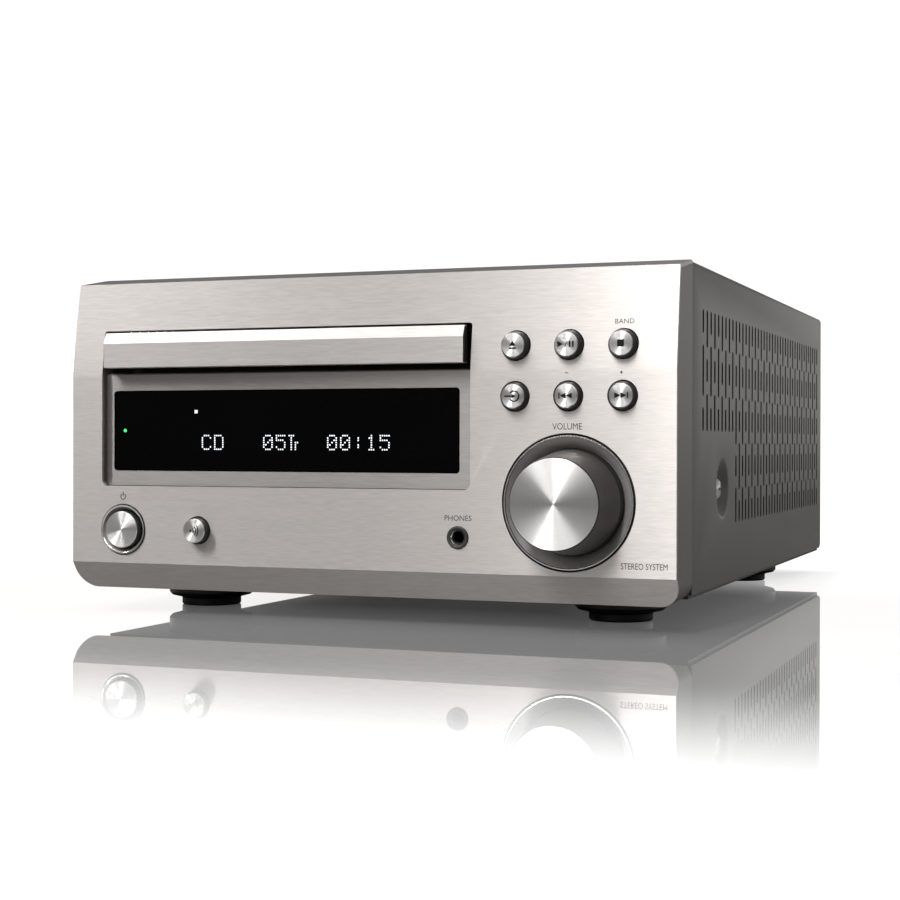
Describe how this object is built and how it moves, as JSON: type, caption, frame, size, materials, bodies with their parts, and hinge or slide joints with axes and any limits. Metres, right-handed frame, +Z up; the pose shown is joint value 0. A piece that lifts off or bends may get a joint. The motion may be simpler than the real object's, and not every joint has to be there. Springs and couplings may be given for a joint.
{
  "type": "mini hifi system",
  "caption": "Compact one-box CD receiver with disc tray, display, volume knob, round buttons, vented metal cover and rear terminals; tray, disc mechanism, knob and buttons move.",
  "frame": {"origin": "centre of the bounding box on the plane that the feet stand on", "axes": "+X to the right seen from the front, front panel facing -Y, +Z up"},
  "size_m": [0.21, 0.309, 0.115],
  "materials": {
    "brushed_aluminium": "brushed along X",
    "spun_aluminium": "turned and spun",
    "cover_paint": "satin paint with a fine texture",
    "moulding_plastic": "satin",
    "display_acrylic": "polished, smoked",
    "display_glass": "dark glass on a board",
    "foot_plastic": "satin black",
    "zinc_steel": "zinc plated",
    "board": "solder resist",
    "tray_plastic": "moulded, satin",
    "nylon": "natural nylon",
    "socket_plastic": "moulded, satin",
    "aerial_metal": "nickel plated",
    "post_red": "glossy",
    "post_black": "glossy",
    "heatsink_aluminium": "black anodised extrusion",
    "capacitor_sleeve": "shrink sleeve",
    "transformer_steel": "varnished laminations and winding"
  },
  "bodies": {
    "root": {"front_fascia": "brushed_aluminium", "display_surround": "brushed_aluminium", "power_ring": "spun_aluminium", "volume_ring": "spun_aluminium", "top_cover": "cover_paint", "rear_panel": "cover_paint", "base_chassis": "cover_paint", "fascia_frame": "moulding_plastic", "display_window": "display_acrylic", "display_module": "display_glass", "front_left_foot": "foot_plastic", "front_right_foot": "foot_plastic", "rear_left_foot": "foot_plastic", "rear_right_foot": "foot_plastic", "loading_motor": "zinc_steel", "clamp_bridge": "zinc_steel", "tuner_module": "zinc_steel", "left_side_screw": "zinc_steel", "right_side_screw": "zinc_steel", "left_rear_screw": "zinc_steel", "right_rear_screw": "zinc_steel", "front_board": "board", "main_board": "board", "loader_frame": "tray_plastic", "phones_jack": "socket_plastic", "volume_encoder": "socket_plastic", "speaker_terminals": "socket_plastic", "line_sockets": "socket_plastic", "optical_socket": "socket_plastic", "ac_inlet": "socket_plastic", "antenna_sockets": "aerial_metal", "amplifier_heatsink": "heatsink_aluminium", "left_capacitor": "capacitor_sleeve", "right_capacitor": "capacitor_sleeve", "power_transformer": "transformer_steel"},
    "tray": {"disc_tray": "tray_plastic", "tray_door": "brushed_aluminium"},
    "loading_gear_body": {"loading_gear": "nylon"},
    "pinion_body": {"motor_pinion": "nylon"},
    "traverse": {"traverse_plate": "zinc_steel", "guide_rod": "zinc_steel", "spindle_motor": "zinc_steel"},
    "turntable_body": {"turntable": "tray_plastic"},
    "clamp": {"clamp_puck": "tray_plastic"},
    "pickup": {"pickup_sled": "tray_plastic"},
    "volume": {"volume_knob": "spun_aluminium", "encoder_shaft": "zinc_steel"},
    "power": {"power_button": "spun_aluminium"},
    "wireless": {"wireless_button": "spun_aluminium"},
    "eject": {"eject_button": "spun_aluminium"},
    "play_pause": {"play_pause_button": "spun_aluminium"},
    "stop": {"stop_button": "spun_aluminium"},
    "source": {"source_button": "spun_aluminium"},
    "previous": {"previous_button": "spun_aluminium"},
    "next": {"next_button": "spun_aluminium"},
    "post_1": {"post_cap_1": "post_black"},
    "post_2": {"post_cap_2": "post_black"},
    "post_3": {"post_cap_3": "post_red"},
    "post_4": {"post_cap_4": "post_red"},
    "shutter": {"optical_shutter": "socket_plastic"}
  },
  "joints": [
    {"name": "tray_slide", "type": "slide", "parent": "root", "child": "tray", "axis": [0, -1, 0], "range_m": [0, 0.134]},
    {"name": "loading_gear_spin", "type": "hinge", "parent": "root", "child": "loading_gear_body", "pos_m": [-0.069, -0.1055, 0.086], "axis": [0, 0, 1], "range_deg": [-5, 575]},
    {"name": "motor_pinion_spin", "type": "hinge", "parent": "root", "child": "pinion_body", "pos_m": [-0.048, -0.1055, 0.086], "axis": [0, 0, 1], "range_deg": [-1030, 5]},
    {"name": "traverse_tilt", "type": "hinge", "parent": "root", "child": "traverse", "pos_m": [-0.02675, 0.0155, 0.0791], "axis": [1, 0, 0], "range_deg": [0, 4]},
    {"name": "turntable_spin", "type": "hinge", "parent": "traverse", "child": "turntable_body", "pos_m": [-0.02675, -0.0695, 0.085], "axis": [0, 0, 1], "continuous": true},
    {"name": "clamp_spin", "type": "hinge", "parent": "root", "child": "clamp", "pos_m": [-0.02675, -0.0695, 0.095], "axis": [0, 0, 1], "continuous": true},
    {"name": "pickup_slide", "type": "slide", "parent": "traverse", "child": "pickup", "axis": [0, 1, 0], "range_m": [0, 0.033]},
    {"name": "volume_spin", "type": "hinge", "parent": "root", "child": "volume", "pos_m": [0.0713, -0.1395, 0.0398], "axis": [0, 1, 0], "continuous": true},
    {"name": "power_press", "type": "slide", "parent": "root", "child": "power", "axis": [0, 1, 0], "range_m": [0, 0.0012], "stiffness_N_per_m": 600},
    {"name": "wireless_press", "type": "slide", "parent": "root", "child": "wireless", "axis": [0, 1, 0], "range_m": [0, 0.0012], "stiffness_N_per_m": 600},
    {"name": "eject_press", "type": "slide", "parent": "root", "child": "eject", "axis": [0, 1, 0], "range_m": [0, 0.0012], "stiffness_N_per_m": 600},
    {"name": "play_pause_press", "type": "slide", "parent": "root", "child": "play_pause", "axis": [0, 1, 0], "range_m": [0, 0.0012], "stiffness_N_per_m": 600},
    {"name": "stop_press", "type": "slide", "parent": "root", "child": "stop", "axis": [0, 1, 0], "range_m": [0, 0.0012], "stiffness_N_per_m": 600},
    {"name": "source_press", "type": "slide", "parent": "root", "child": "source", "axis": [0, 1, 0], "range_m": [0, 0.0012], "stiffness_N_per_m": 600},
    {"name": "previous_press", "type": "slide", "parent": "root", "child": "previous", "axis": [0, 1, 0], "range_m": [0, 0.0012], "stiffness_N_per_m": 600},
    {"name": "next_press", "type": "slide", "parent": "root", "child": "next", "axis": [0, 1, 0], "range_m": [0, 0.0012], "stiffness_N_per_m": 600},
    {"name": "post_1_turn", "type": "hinge", "parent": "root", "child": "post_1", "pos_m": [-0.052, 0.1455, 0.0695], "axis": [0, 1, 0], "range_deg": [0, 720]},
    {"name": "post_2_turn", "type": "hinge", "parent": "root", "child": "post_2", "pos_m": [-0.052, 0.1455, 0.0865], "axis": [0, 1, 0], "range_deg": [0, 720]},
    {"name": "post_3_turn", "type": "hinge", "parent": "root", "child": "post_3", "pos_m": [-0.024, 0.1455, 0.0695], "axis": [0, 1, 0], "range_deg": [0, 720]},
    {"name": "post_4_turn", "type": "hinge", "parent": "root", "child": "post_4", "pos_m": [-0.024, 0.1455, 0.0865], "axis": [0, 1, 0], "range_deg": [0, 720]},
    {"name": "shutter_flap", "type": "hinge", "parent": "root", "child": "shutter", "pos_m": [0.01, 0.1479, 0.0333], "axis": [-1, 0, 0], "range_deg": [0, 80], "stiffness_Nm_per_rad": 0.00005, "springref_deg": -17.19}
  ],
  "couplings": [
    {"joint": "loading_gear_spin", "follows": "tray_slide", "rad_per_m": 74.074},
    {"joint": "motor_pinion_spin", "follows": "tray_slide", "rad_per_m": -133.33},
    {"joint": "clamp_spin", "follows": "turntable_spin", "ratio": 1}
  ]
}
